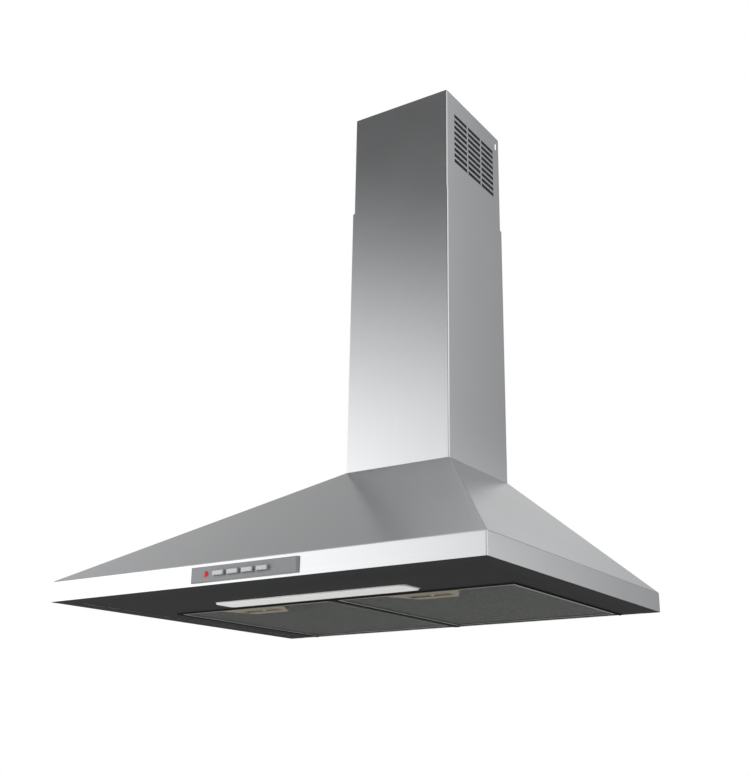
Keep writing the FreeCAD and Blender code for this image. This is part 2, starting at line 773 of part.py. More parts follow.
def grease_filter(side, label):
    """One mesh cassette: a channel frame, its mesh pack, two rear tabs and a latch at the front."""
    near, far = "filter_split / 2", FILTER_EDGE
    middle = f"({side} * latch_offset)"
    body = new_body(f"FilterFrame{label}")
    outline = new_sketch(body, "FrameOutline", "XY_Plane")
    rectangle(outline, flank(side, near, far), ("-filter_front", "-filter_rear"))
    feature(body, "Pad", "FrameBlock", outline, "filter_thick")
    rounded(body, "Fillet", "FrameRolls", lambda a, b: a.z == b.z, "frame_radius")
    window = new_sketch(body, "FrameWindow", "XY_Plane")
    rectangle(window, flank(side, f"{near} + frame_lip", f"{far} - frame_lip"),
              ("-filter_front + frame_lip", "-filter_rear - frame_lip"))
    feature(body, "Pocket", "WindowPocket", window, None, reverse=True)
    channel = new_sketch(body, "Channel", "XY_Plane", "frame_gauge")
    rectangle(channel, flank(side, f"{near} + frame_gauge", f"{far} - frame_gauge"),
              ("-filter_front + frame_gauge", "-filter_rear - frame_gauge"))
    feature(body, "Pocket", "ChannelPocket", channel, "filter_thick - 2 * frame_gauge", reverse=True)
    notch = new_sketch(body, "LatchNotch", "XY_Plane")
    wide = "(latch_width / 2 + 2 * fit_gap)"
    taper = "((latch_width - latch_rear_width) / 2 / latch_depth)"
    narrow = f"({wide} - {taper} * (frame_lip + 1))"
    polygon(notch, [(f"{middle} - {wide}", "-filter_front - 1"), (f"{middle} + {wide}", "-filter_front - 1"),
                    (f"{middle} + {narrow}", "-filter_front + frame_lip + 1"),
                    (f"{middle} - {narrow}", "-filter_front + frame_lip + 1")])
    feature(body, "Pocket", "NotchPocket", notch, None, reverse=True)
    node(f"filter_frame_{label}", body)

    edge, base = "(frame_gauge + mesh_gap)", "(frame_gauge + mesh_set_back)"
    mesh = block("MeshPack", flank(side, f"{near} + {edge}", f"{far} - {edge}"),
                 (f"-filter_front + {edge}", f"-filter_rear - {edge}"), (base, f"filter_thick - {edge}"))
    room = wedge("MeshNotch", across(middle, wide), across(middle, "latch_rear_width / 2 + 2 * fit_gap"),
                 ("-filter_front", "-filter_front + latch_depth + fit_gap"), ("0", "filter_thick"))
    core_y = ("-filter_front + latch_depth + fit_gap + mesh_rim", f"-filter_rear - {edge} - mesh_rim")
    core = block("MeshCore", flank(side, f"{near} + {edge} + mesh_rim", f"{far} - {edge} - mesh_rim"),
                 core_y, (f"{base} + mesh_skin", f"filter_thick - {edge} - mesh_skin"))
    node(f"filter_mesh_{label}", cut("Mesh", mesh, room, core))

    tabs = []
    for x in tab_places(side):
        neck = block("TabNeck", (f"{x} - neck_width / 2", f"{x} + neck_width / 2"),
                     ("-filter_rear", "-hinge_depth"),
                     ("hinge_height - neck_gauge / 2", "hinge_height + neck_gauge / 2"))
        pin = rod("TabPin", "x", "pin_radius", (f"{x} - pin_length / 2", f"{x} + pin_length / 2"),
                  ("-hinge_depth", "hinge_height"))
        tabs.append(fused("Tab", neck, pin))
    node(f"filter_tabs_{label}", group("FilterTabs", *tabs))
    latch(middle, label)


def latch(middle, label):
    """The latch at a filter's front edge: a housing with a finger pocket, a sliding grip and its spring."""
    low, top = "-latch_drop", "latch_top"
    front, rear = "-filter_front + fit_gap", "-filter_front + latch_depth"
    pocket = ("-filter_front + pocket_front", f"{rear} - pocket_rear")
    body = new_body(f"LatchHousing{label}")
    outline = new_sketch(body, "HousingOutline", "XY_Plane", low)
    polygon(outline, [(f"{middle} - latch_width / 2", front), (f"{middle} + latch_width / 2", front),
                      (f"{middle} + latch_rear_width / 2", rear), (f"{middle} - latch_rear_width / 2", rear)])
    feature(body, "Pad", "HousingBlock", outline, f"{top} - ({low})")
    rounded(body, "Fillet", "HousingEdges", lambda a, b: a.z < 0 or b.z < 0, "latch_radius")
    hollow = new_sketch(body, "FingerPocket", "XY_Plane", low)
    rectangle(hollow, (f"{middle} - pocket_width / 2", f"{middle} + pocket_width / 2"), pocket)
    feature(body, "Pocket", "FingerHollow", hollow, f"{top} - ({low}) - pocket_ceiling", reverse=True)
    slot = new_sketch(body, "TongueSlot", "XZ_Plane", "filter_front")
    rectangle(slot, (f"{middle} - tongue_width / 2 - fit_gap", f"{middle} + tongue_width / 2 + fit_gap"),
              ("grip_height - latch_drop - tongue_height - fit_gap", "grip_height - latch_drop + fit_gap"))
    feature(body, "Pocket", "TongueHollow", slot, "pocket_front + fit_gap")
    node(f"latch_housing_{label}", body)

    grip = block("Grip", (f"{middle} - pocket_width / 2 + fit_gap", f"{middle} + pocket_width / 2 - fit_gap"),
                 (f"{pocket[0]} + fit_gap", f"{pocket[0]} + grip_depth"), (low, "grip_height - latch_drop"))
    tongue = block("Tongue", (f"{middle} - tongue_width / 2", f"{middle} + tongue_width / 2"),
                   ("-filter_front - tongue_reach", f"{pocket[0]} + grip_depth"),
                   ("grip_height - latch_drop - tongue_height", "grip_height - latch_drop"))
    node(f"latch_slide_{label}", fused("LatchSlide", grip, tongue))

    coil = doc.addObject("Part::Feature", "LatchSpring")
    length = value("latch_depth") - value("pocket_rear") - value("pocket_front") - value("grip_depth")
    length -= 2 * value("fit_gap")
    coil.Shape = spring(length, value("spring_radius"), value("spring_wire"), int(value("spring_turns")))
    coil.Placement.Rotation = AXIS_TURN["y"]
    place(coil, middle, f"{pocket[0]} + grip_depth + fit_gap + spring_wire", "grip_height / 2 - latch_drop")
    node(f"latch_spring_{label}", coil)


def spring(length, radius, wire, turns):
    """A coil spring along Z, made by sweeping a round wire along a helix that starts at the origin."""
    pitch = (length - 2 * wire) / turns
    helix = Part.makeHelix(pitch, length - 2 * wire, radius)
    ring = Part.Wire(Part.Circle(Vector(radius, 0, 0), Vector(0, 1, 0), wire).toShape())
    return Part.Wire(helix.Edges).makePipeShell([ring], True, True)


# ---- Lamp ----------------------------------------------------------------------------------------------

def lamp():
    """The reflector tray with two lampholders and tubular bulbs, behind a hinged opal cover."""
    half = "(lamp_width / 2)"
    walls = ("-lamp_front - lamp_gap", "-lamp_front + lamp_depth + lamp_gap")
    outer = block("TrayOuter", (f"-{half} - tray_gauge", f"{half} + tray_gauge"),
                  (f"{walls[0]} - tray_gauge", f"{walls[1]} + tray_gauge"), (LINER_TOP, "tray_top"))
    inner = block("TrayInner", (f"-{half}", half), walls, ("0", "tray_top - tray_gauge"))
    flange = block("TrayFlange", (f"-{half} - tray_flange", f"{half} + tray_flange"),
                   (f"{walls[0]} - tray_flange", f"{walls[1]} + tray_flange"),
                   (LINER_TOP, f"{LINER_TOP} + tray_gauge"))
    pins = rod("TrayPinHoles", "x", "lens_pin_radius + pin_clearance",
               (f"-{half} - 2 * tray_gauge", f"{half} + 2 * tray_gauge"), (LENS_HINGE_Y, "lens_hinge_height"))
    node("lamp_tray", cut("Tray", fused("TraySolid", outer, flange), inner, pins))

    for side, label in ((-1, "left"), (1, "right")):
        holder = rod("Holder", "x", "lampholder_radius", flank(side, f"{half} - lampholder_length", half),
                     (LAMP_Y, "bulb_height"))
        socket = rod("Socket", "x", "cap_radius + fit_gap",
                     flank(side, f"{half} - lampholder_length - 1", f"{half} - lampholder_length + cap_length"
                           " + fit_gap"), (LAMP_Y, "bulb_height"))
        node(f"lampholder_{label}", cut("Lampholder", holder, socket))
        shoulder = f"({half} - lampholder_length - fit_gap)"
        glass = rod("BulbGlass", "x", "bulb_radius",
                    flank(side, f"{shoulder} - bulb_length + bulb_radius", shoulder), (LAMP_Y, "bulb_height"))
        tip = ball("BulbTip", "bulb_radius", f"{side} * ({shoulder} - bulb_length + bulb_radius)", LAMP_Y,
                   "bulb_height")
        cap = rod("BulbCap", "x", "cap_radius", flank(side, shoulder, f"{shoulder} + cap_length"),
                  (LAMP_Y, "bulb_height"))
        node(f"bulb_{label}", fused("Bulb", glass, tip, cap))

    body = new_body("LampCover")
    outline = new_sketch(body, "LensOutline", "XY_Plane", "-lens_drop")
    rectangle(outline, (f"-{half}", half), ("-lamp_front", "-lamp_front + lamp_depth"))
    feature(body, "Pad", "Lens", outline, "lens_gauge")
    rounded(body, "Fillet", "LensCorners", along("z"), "lens_corner")
    rounded(body, "Fillet", "LensEdge", lambda a, b: a.z < 0 and b.z < 0, "lens_edge")
    lens = [body]
    for side in (-1, 1):
        lug_x = flank(side, f"{half} - 2 * lens_lug", f"{half} - lens_lug")
        lens.append(block("LensLug", lug_x, (f"{LENS_HINGE_Y} - lens_pin_radius - 1",
                                             f"{LENS_HINGE_Y} + lens_pin_radius + 1"),
                          ("0", "lens_hinge_height + lens_pin_radius + 1")))
        lens.append(rod("LensPin", "x", "lens_pin_radius",
                        flank(side, f"{half} - 2 * lens_lug", f"{half} + tray_gauge / 2"),
                        (LENS_HINGE_Y, "lens_hinge_height")))
    node("lamp_cover", fused("LampCoverSolid", *lens))


# ---- Control strip -------------------------------------------------------------------------------------

KEYS = ("light_key", "speed_key_one", "speed_key_two", "speed_key_three")


def key_place(number):
    return f"(key_first + {number} * key_pitch)"


def key_window(x, margin):
    """The X and Z spans of a key at a place, widened by a margin."""
    return ((f"{x} - key_width / 2 - {margin}", f"{x} + key_width / 2 + {margin}"),
            (f"key_centre - key_height / 2 - {margin}", f"key_centre + key_height / 2 + {margin}"))


def control_strip():
    """The bezel on the lip, the switch block behind it, the pilot lens and four keys."""
    body = new_body("ControlBezel")
    outline = new_sketch(body, "BezelOutline", "XZ_Plane", "hood_depth")
    rectangle(outline, across("bezel_place", "bezel_width / 2"),
              ("bezel_centre - bezel_height / 2", "bezel_centre + bezel_height / 2"))
    feature(body, "Pad", "BezelPlate", outline, "bezel_proud")

    def end_edge(a, b):
        return along("z")(a, b) and a.y < -value("hood_depth") - 1
    rounded(body, "Chamfer", "BezelEnds", end_edge, "bezel_bevel")

    def long_edge(a, b):
        return along("x")(a, b) and a.y < -value("hood_depth") - 1
    rounded(body, "Fillet", "BezelEdges", long_edge, "key_radius")
    skirt = new_sketch(body, "SkirtOutline", "XZ_Plane", "hood_depth")
    lap = "(bezel_lap + fit_gap)"
    rectangle(skirt, across("bezel_place", f"bezel_width / 2 - {lap}"),
              ("bezel_centre - bezel_height / 2 + bezel_lap / 2 + fit_gap",
               "bezel_centre + bezel_height / 2 - bezel_lap / 2 - fit_gap"))
    feature(body, "Pad", "Skirt", skirt, "skirt_depth", reverse=True)
    hollow = new_sketch(body, "SkirtHollow", "XZ_Plane", "hood_depth - skirt_depth")
    rectangle(hollow, across("bezel_place", f"bezel_width / 2 - {lap} - skirt_gauge"),
              ("bezel_centre - bezel_height / 2 + bezel_lap / 2 + fit_gap + skirt_gauge",
               "bezel_centre + bezel_height / 2 - bezel_lap / 2 - fit_gap - skirt_gauge"))
    feature(body, "Pocket", "SkirtPocket", hollow, "skirt_depth", reverse=True)
    windows = new_sketch(body, "Windows", "XZ_Plane", "hood_depth + bezel_proud")
    for number in range(len(KEYS)):
        rectangle(windows, *key_window(key_place(number), "key_gap"))
    circle(windows, "pilot_place", "key_centre", "pilot_radius + fit_gap")
    feature(body, "Pocket", "WindowPockets", windows, "bezel_proud + skirt_depth")
    node("control_bezel", body)

    solid = block("SwitchSolid", across("bezel_place", "switch_half"),
                  (SWITCH_Y, f"{SWITCH_Y} + switch_depth"), across("bezel_centre", "switch_height / 2"))
    channels = []
    for number, label in enumerate(KEYS):
        x, z = key_window(key_place(number), "(key_gap - stem_step)")
        deep = f"{SWITCH_Y} + stem_depth + key_travel + fit_gap"
        channels.append(block("KeyChannel", x, (SWITCH_Y, deep), z))
        key(number, label)
    node("switch_block", cut("SwitchBlock", solid, *channels))

    centre = ("pilot_place", "key_centre")
    bulge = "((pilot_radius^2 + pilot_proud^2) / (2 * pilot_proud))"
    barrel = rod("PilotBarrel", "y", "pilot_radius", (FACE_Y, SWITCH_Y), centre)
    tip = rod("PilotTip", "y", "pilot_radius", (f"{FACE_Y} - pilot_proud", FACE_Y), centre)
    round_end = ball("PilotBall", bulge, "pilot_place", f"{FACE_Y} - pilot_proud + {bulge}", "key_centre")
    node("pilot_lens", fused("Pilot", barrel, common("PilotDome", tip, round_end)))


def key(number, label):
    """A key: its cap stands out of the bezel, a collar behind stops it and a stem enters the switch."""
    body = new_body(f"Key{number}")
    face = "hood_depth + bezel_proud + key_proud"
    collar_front = "hood_depth - rest_gap"
    steps = [("Cap", face, "0", f"{face} - ({collar_front})"),
             ("Collar", collar_front, "collar_step", "collar_gauge"),
             ("Stem", f"{collar_front} - collar_gauge", "(-stem_step)",
              f"{collar_front} - collar_gauge - (hood_depth - skirt_depth - stem_depth)")]
    for name, offset, margin, length in steps:
        outline = new_sketch(body, name + "Outline", "XZ_Plane", offset)
        rectangle(outline, *key_window(key_place(number), margin))
        feature(body, "Pad", name, outline, length, reverse=True)
        if name == "Cap":
            front = -value("hood_depth") - value("bezel_proud") - 1
            rounded(body, "Fillet", "CapEdges", lambda a, b: max(a.y, b.y) < front, "key_radius")
    node(label, body)


# ---- Blower --------------------------------------------------------------------------------------------

EARS = [
    (f"({OUTLET_FRONT} - {EAR_REACH} * {DIAGONAL})", f"({SCROLL_Z} + {EAR_REACH} * {DIAGONAL})"),
    (f"({OUTLET_FRONT} + scroll_step - ({EAR_REACH} + scroll_step) * {DIAGONAL})",
     f"({SCROLL_Z} - ({EAR_REACH} + scroll_step) * {DIAGONAL})"),
    (f"({OUTLET_FRONT} + scroll_step + ({EAR_REACH} + 2 * scroll_step) * {DIAGONAL})",
     f"({SCROLL_Z} + scroll_step - ({EAR_REACH} + 2 * scroll_step) * {DIAGONAL})"),
    (f"({OUTLET_REAR} + scroll_wall + ear_offset)", "ear_high"),
]
ARM_ANGLES = (90, 210, 330)
GROMMETS = [(f"({FAN_Y} + grommet_place * cos({angle}))", f"({FAN_Z} + grommet_place * sin({angle}))")
            for angle in ARM_ANGLES]
OUTLET_SCREW_YS = [f"({DUCT_Y} - outlet_screw)", f"({DUCT_Y} + outlet_screw)"]
OUTLET_SCREW_Z = f"(({SPIGOT_BASE} - skirt_drop + outlet_top) / 2)"


def quarter(name, x, radius, y, z, turn):
    """A quarter round along X; turned by 0 it fills the rear low quadrant round its centre."""
    item = rod(name, "x", radius, x, (y, z))
    item.Angle = 90
    item.Placement.Rotation = FreeCAD.Rotation(Vector(1, 0, 0), turn) * AXIS_TURN["x"]
    return item


def scroll(name, x, grow):
    """The three quarter rounds of the scroll, grown by a wall."""
    low_y = f"{OUTLET_FRONT} + scroll_step"
    return [
        quarter(name + "Top", x, f"scroll_radius + {grow}", OUTLET_FRONT, SCROLL_Z, 180),
        quarter(name + "Front", x, f"scroll_radius + scroll_step + {grow}", low_y, SCROLL_Z, -90),
        quarter(name + "Rear", x, f"scroll_radius + 2 * scroll_step + {grow}", low_y,
                f"{SCROLL_Z} + scroll_step", 0),
    ]


def blower_housing():
    """The two halves of the scroll housing, joined at screw ears in the middle plane."""
    for side, label in ((-1, "left"), (1, "right")):
        x = flank(side, "0", HOUSING_SIDE)
        inside = flank(side, "-1", "scroll_half")
        shell = scroll("Outer", x, "scroll_wall")
        shell.append(block("OuterOutlet", x, (OUTLET_FRONT, f"{OUTLET_REAR} + scroll_wall"),
                           (SCROLL_Z, "outlet_top")))
        shell += [rod("Ear", "x", "ear_radius", flank(side, "0", "ear_gauge"), centre) for centre in EARS]
        hollow = scroll("Inner", inside, "0")
        hollow.append(block("Throat", inside, (OUTLET_FRONT, OUTLET_REAR),
                            (SCROLL_Z, f"{SCROLL_Z} + scroll_radius")))
        hollow.append(block("Neck", inside, (f"{OUTLET_FRONT} + scroll_wall", OUTLET_REAR),
                            (SCROLL_Z, "outlet_top + 1")))
        through = flank(side, "scroll_half - 1", f"{HOUSING_SIDE} + 1")
        holes = [rod("Inlet", "x", "inlet_radius", through, (FAN_Y, FAN_Z))]
        holes += [rod("EarHole", "x", "screw_hole", flank(side, "-1", "ear_gauge + 1"), centre)
                  for centre in EARS]
        holes += [rod("OutletHole", "x", "screw_hole", through, (y, OUTLET_SCREW_Z))
                  for y in OUTLET_SCREW_YS]
        if side > 0:
            holes += [rod("MotorHole", "x", "screw_hole", through, centre) for centre in GROMMETS]
        node(f"blower_housing_{label}", cut("Housing", fused("HousingSolid", *shell), *hollow, *holes))
    screws = [screw("HousingScrew", "x", ("-ear_gauge - screw_tail", "ear_gauge"),
                    ("ear_gauge", "ear_gauge + head_height"), centre) for centre in EARS]
    node("housing_screws", group("HousingScrews", *screws))


def impeller():
    """The double-inlet fan wheel on its shaft, with a nut on the shaft's inner end."""
    body = new_body("Impeller")
    plates = (("Disc", "fan_radius", "fan_ring_gauge"), ("Hub", "hub_radius", "hub_length"))
    for name, radius, length in plates:
        outline = fan_sketch(body, name + "Outline", f"-{length} / 2")
        circle(outline, "0", "0", radius)
        feature(body, "Pad", name, outline, length)
    reach = "(fan_half - fan_ring_gauge / 2)"
    blade = fan_sketch(body, "BladeOutline", f"-{reach}")
    inner, outer = "fan_radius - fan_ring - blade_gauge", "fan_radius - blade_gauge"
    polygon(blade, [(inner, "-blade_gauge / 2"), (outer, "blade_lean - blade_gauge / 2"),
                    (outer, "blade_lean + blade_gauge / 2"), (inner, "blade_gauge / 2")])
    pad = feature(body, "Pad", "Blade", blade, f"2 * {reach}")
    pattern = body.newObject("PartDesign::PolarPattern", "Blades")
    pattern.Originals = [pad]
    pattern.Axis = (blade, ["N_Axis"])
    pattern.Angle = 360
    bind(pattern, Occurrences="blade_count")
    body.Tip = pattern
    for name, offset in (("RingLeft", "-fan_half"), ("RingRight", "fan_half - fan_ring_gauge")):
        outline = fan_sketch(body, name + "Outline", offset)
        circle(outline, "0", "0", "fan_radius")
        circle(outline, "0", "0", "fan_radius - fan_ring")
        feature(body, "Pad", name, outline, "fan_ring_gauge")
    bore = fan_sketch(body, "ShaftBore", "-hub_length / 2")
    circle(bore, "0", "0", "shaft_radius + pin_clearance")
    feature(body, "Pocket", "BorePocket", bore, "hub_length", reverse=True)
    node("impeller", body)

    centre = (FAN_Y, FAN_Z)
    node("motor_shaft", rod("Shaft", "x", "shaft_radius",
                            ("-shaft_inboard", f"{MOTOR_END} - motor_edge - fit_gap"), centre))
    nut_x = ("-hub_length / 2 - nut_height", "-hub_length / 2")
    nut = new_body("ShaftNut")
    outline = fan_sketch(nut, "NutOutline", nut_x[0])
    polygon(outline, [(f"nut_radius * cos({60 * k})", f"nut_radius * sin({60 * k})") for k in range(6)])
    circle(outline, "0", "0", "shaft_radius + pin_clearance")
    feature(nut, "Pad", "NutBlock", outline, "nut_height")
    node("shaft_nut", nut)


def fan_sketch(body, name, offset):
    """A sketch across the fan's axis, with its origin on that axis."""
    item = new_sketch(body, name, "YZ_Plane", offset)
    item.setExpression("AttachmentOffset.Base.x", bound(FAN_Y))
    item.setExpression("AttachmentOffset.Base.y", bound(FAN_Z))
    return item


def motor():
    """The motor inside the wheel, held by a three-armed bracket on rubber grommets."""
    body = new_body("Motor")
    outline = fan_sketch(body, "MotorOutline", "motor_start")
    circle(outline, "0", "0", "motor_radius")
    feature(body, "Pad", "MotorBlock", outline, "motor_length")
    rounded(body, "Fillet", "MotorEdges", lambda a, b: a == b, "motor_edge")
    bore = fan_sketch(body, "MotorBore", "motor_start")
    circle(bore, "0", "0", "shaft_radius + pin_clearance")
    feature(body, "Pocket", "MotorBorePocket", bore, "motor_length - motor_edge", reverse=True)
    node("motor", body)

    plate_x = (MOTOR_END, f"{MOTOR_END} + bracket_gauge")
    pieces = [rod("BracketDisc", "x", "bracket_radius", plate_x, (FAN_Y, FAN_Z))]
    for angle in ARM_ANGLES:
        arm = doc.addObject("Part::Box", "BracketArm")
        arm.Placement.Rotation = FreeCAD.Rotation(Vector(1, 0, 0), angle - 90)
        bind(arm, Length="bracket_gauge", Width="bracket_arm", Height="grommet_place + bracket_arm / 2")
        place(arm, plate_x[0], f"{FAN_Y} - bracket_arm / 2 * sin({angle})",
              f"{FAN_Z} + bracket_arm / 2 * cos({angle})")
        pieces.append(arm)
    holes = [rod("BracketHole", "x", "screw_hole", (f"{MOTOR_END} - 1", f"{MOTOR_END} + 2 * bracket_gauge"),
                 centre) for centre in GROMMETS]
    node("motor_bracket", cut("Bracket", fused("BracketSolid", *pieces), *holes))
    rings = [cut("Grommet", rod("GrommetRound", "x", "grommet_radius", (HOUSING_SIDE, MOTOR_END), centre),
                 rod("GrommetHole", "x", "screw_hole", (HOUSING_SIDE, MOTOR_END), centre))
             for centre in GROMMETS]
    node("grommets", group("Grommets", *rings))
    screws = [screw("MotorScrew", "x", ("scroll_half - screw_tail", plate_x[1]),
                    (plate_x[1], f"{plate_x[1]} + head_height"), centre) for centre in GROMMETS]
    node("motor_screws", group("MotorScrews", *screws))


# ---- Outlet --------------------------------------------------------------------------------------------

SPIGOT_SCREWS = [("spigot_screw", DUCT_Y), ("-spigot_screw", DUCT_Y),
                 ("0", f"({DUCT_Y} - spigot_screw)"), ("0", f"({DUCT_Y} + spigot_screw)")]
FLANGE_SCREWS = [(f"{side} * {SCREW_X}", y) for side in (-1, 1) for y in SCREW_YS]
GLAND = ("-gland_across", "-gland_depth")


def outlet():
    """The plate under the canopy's top flange and the duct spigot with its two non-return flaps."""
    duct = ("0", DUCT_Y)
    half = "(chimney_width / 2 - plate_margin)"
    plate = block("PlateBlock", (f"-{half}", half),
                  ("-chimney_width + plate_margin", "-sheet_gauge - plate_margin"), (PLATE_BASE, PLATE_TOP))
    through = (f"{SPIGOT_BASE} - 1", f"{PLATE_TOP} + 1")
    holes = [rod("PlateOpening", "z", "duct_radius + spigot_step + fit_gap", through, duct),
             rod("PlateGland", "z", "gland_shank + fit_gap", through, GLAND)]
    holes += [rod("PlateHole", "z", "screw_hole", through, centre)
              for centre in SPIGOT_SCREWS + FLANGE_SCREWS]
    node("blower_plate", cut("Plate", plate, *holes))

    inner = "(duct_radius - spigot_wall)"
    mouth_x = (f"-{HOUSING_SIDE} - fit_gap", f"{HOUSING_SIDE} + fit_gap")
    mouth_y = (f"{OUTLET_FRONT} - fit_gap", f"{OUTLET_REAR} + scroll_wall + fit_gap")
    skirt_z = (f"{SPIGOT_BASE} - skirt_drop", SPIGOT_BASE)
    solid = [
        block("SpigotFlange", ("-spigot_flange", "spigot_flange"),
              (f"{DUCT_Y} - spigot_flange", f"{DUCT_Y} + spigot_flange"), (SPIGOT_BASE, PLATE_BASE)),
        block("SpigotSkirt", (f"{mouth_x[0]} - skirt_wall", f"{mouth_x[1]} + skirt_wall"),
              (f"{mouth_y[0]} - skirt_wall", f"{mouth_y[1]} + skirt_wall"), skirt_z),
        rod("SpigotCollar", "z", "duct_radius + spigot_step", (PLATE_BASE, "spigot_shoulder"), duct),
        rod("SpigotTube", "z", "duct_radius", (PLATE_BASE, "spigot_top"), duct),
    ]
    passage = common("SpigotPassage", rod("PassageRound", "z", inner, (SPIGOT_BASE, PLATE_BASE), duct),
                     block("PassageSquare", mouth_x, mouth_y, (SPIGOT_BASE, PLATE_BASE)))
    hollow = [block("SkirtMouth", mouth_x, mouth_y, skirt_z), passage,
              rod("SpigotBore", "z", inner, (PLATE_BASE, "spigot_top"), duct)]
    stop_z = "(flap_height - flap_gauge / 2 - rest_gap)"
    ring = cut("StopRing", rod("StopOuter", "z", f"{inner} + spigot_wall / 2",
                               (f"{stop_z} - stop_gauge", stop_z), duct),
               rod("StopInner", "z", f"{inner} - stop_width", (f"{stop_z} - stop_gauge", stop_z), duct))
    bores = [rod("SpigotHole", "z", "screw_hole", through, centre) for centre in SPIGOT_SCREWS]
    bores.append(rod("SpigotGland", "z", "gland_shank + fit_gap", through, GLAND))
    bores += [rod("SkirtHole", "x", "screw_hole", ("-spigot_flange", "spigot_flange"), (y, OUTLET_SCREW_Z))
              for y in OUTLET_SCREW_YS]
    pin_y = (f"{DUCT_Y} - duct_radius + spigot_wall / 2", f"{DUCT_Y} + duct_radius - spigot_wall / 2")
    bores.append(rod("SpigotPinHole", "y", "flap_pin + pin_clearance", pin_y, ("0", "flap_height")))
    tube = cut("SpigotHollow", fused("SpigotSolid", *solid), *hollow)
    node("outlet_spigot", cut("Spigot", fused("SpigotWithStop", tube, ring), *bores))
    node("flap_pin", rod("FlapPin", "y", "flap_pin", pin_y, ("0", "flap_height")))
    flap(-1, "left")
    flap(1, "right")

    screws = []
    for seat, centres in ((PLATE_TOP, SPIGOT_SCREWS), ("(canopy_height + foot_gauge)", FLANGE_SCREWS)):
        shank, head = (f"{seat} - screw_length", seat), (seat, f"{seat} + head_height")
        screws += [screw("PlateScrew", "z", shank, head, centre) for centre in centres]
    node("plate_screws", group("PlateScrews", *screws))
    seat = f"{mouth_x[1]} + skirt_wall"
    screws = [screw("OutletScrew", "x", flank(side, "scroll_half - 1", seat),
                    flank(side, seat, f"{seat} + head_height"), (y, OUTLET_SCREW_Z))
              for side in (-1, 1) for y in OUTLET_SCREW_YS]
    node("outlet_screws", group("OutletScrews", *screws))


def flap(side, label):
    """A half-round flap that closes on the stop ring and turns up round the pin on two knuckles."""
    z = ("flap_height - flap_gauge / 2", "flap_height + flap_gauge / 2")
    disc = rod("FlapDisc", "z", "duct_radius - spigot_wall - flap_gap", z, ("0", DUCT_Y))
    reach = (f"{DUCT_Y} - duct_radius", f"{DUCT_Y} + duct_radius")
    other = block("FlapOther", flank(side, "-duct_radius", "knuckle_radius + flap_gap / 2"), reach, z)
    pieces = [cut("FlapHalf", disc, other)]
    inner_end = "knuckle_start + knuckle_length"
    spans = [flank(-side, "knuckle_start", inner_end),
             flank(side, f"{inner_end} + flap_gap", f"{inner_end} + flap_gap + knuckle_length")]
    for low, high in spans:
        y = (f"{DUCT_Y} + {low}", f"{DUCT_Y} + {high}")
        pieces.append(rod("Knuckle", "y", "knuckle_radius", y, ("0", "flap_height")))
        pieces.append(block("KnuckleTab", flank(side, "0", "2 * knuckle_radius"), y, z))
    bore = rod("KnuckleBore", "y", "flap_pin + pin_clearance", reach, ("0", "flap_height"))
    node(f"flap_{label}", cut("Flap", fused("FlapSolid", *pieces), bore))


# ---- Electrical pieces ---------------------------------------------------------------------------------

def electrics():
    """The cable gland, the terminal box with its strip and cover, and the capacitor in its clip."""
    head = rod("GlandHead", "z", "gland_radius", (PLATE_TOP, "gland_top"), GLAND)
    shank = rod("GlandShank", "z", "gland_shank", (SPIGOT_BASE, PLATE_TOP), GLAND)
    barb = rod("GlandBarb", "z", "gland_barb", (f"{SPIGOT_BASE} - gland_barb_height", SPIGOT_BASE), GLAND)
    bore = rod("GlandBore", "z", "gland_bore", (f"{SPIGOT_BASE} - gland_barb_height", "gland_top"), GLAND)
    node("cable_gland", cut("Gland", fused("GlandSolid", head, shank, barb), bore))

    x = ("-box_place - box_width / 2", "-box_place + box_width / 2")
    y = ("-sheet_gauge - box_depth", "-sheet_gauge")
    z = ("box_base", "box_base + box_height")
    room = block("BoxRoom", (f"{x[0]} + box_wall", f"{x[1]} - box_wall"), (y[0], f"{y[1]} - box_wall"),
                 (f"{z[0]} + box_wall", f"{z[1]} - box_wall"))
    node("terminal_box", cut("TerminalBox", block("BoxBlock", x, y, z), room))
    node("terminal_cover", block("TerminalCover", x, (f"{y[0]} - box_wall", y[0]), z))
    middle = "(box_base + box_height / 2)"
    strip = block("TerminalStrip", ("-box_place - strip_width / 2", "-box_place + strip_width / 2"),
                  (f"{y[1]} - box_wall - strip_depth", f"{y[1]} - box_wall"),
                  (f"{middle} - strip_height / 2", f"{middle} + strip_height / 2"))
    node("terminal_strip", strip)

    centre = ("-sheet_gauge - clip_gauge - fit_gap - capacitor_radius", "capacitor_height")
    span = ("capacitor_place - capacitor_length / 2", "capacitor_place + capacitor_length / 2")
    node("capacitor", rod("Capacitor", "x", "capacitor_radius", span, centre))
    clip_x = ("capacitor_place - clip_width / 2", "capacitor_place + clip_width / 2")
    strap = rod("ClipStrap", "x", "capacitor_radius + fit_gap + clip_gauge", clip_x, centre)
    base = block("ClipBase", clip_x, ("-sheet_gauge - clip_gauge", "-sheet_gauge"),
                 ("capacitor_height - clip_reach", "capacitor_height + clip_reach"))
    node("capacitor_clip", cut("Clip", fused("ClipSolid", strap, base),
                               rod("ClipBore", "x", "capacitor_radius + fit_gap", clip_x, centre)))


# ---- Whole hood ----------------------------------------------------------------------------------------

def build():
    canopy_shell()
    back_panel()
    hangers()
    lower_chimney()
    upper_chimney()
    chimney_feet()
    underside_liner()
    filter_hooks()
    for side, label in ((-1, "left"), (1, "right")):
        grease_filter(side, label)
    lamp()
    control_strip()
    blower_housing()
    impeller()
    motor()
    outlet()
    electrics()
    doc.recompute()


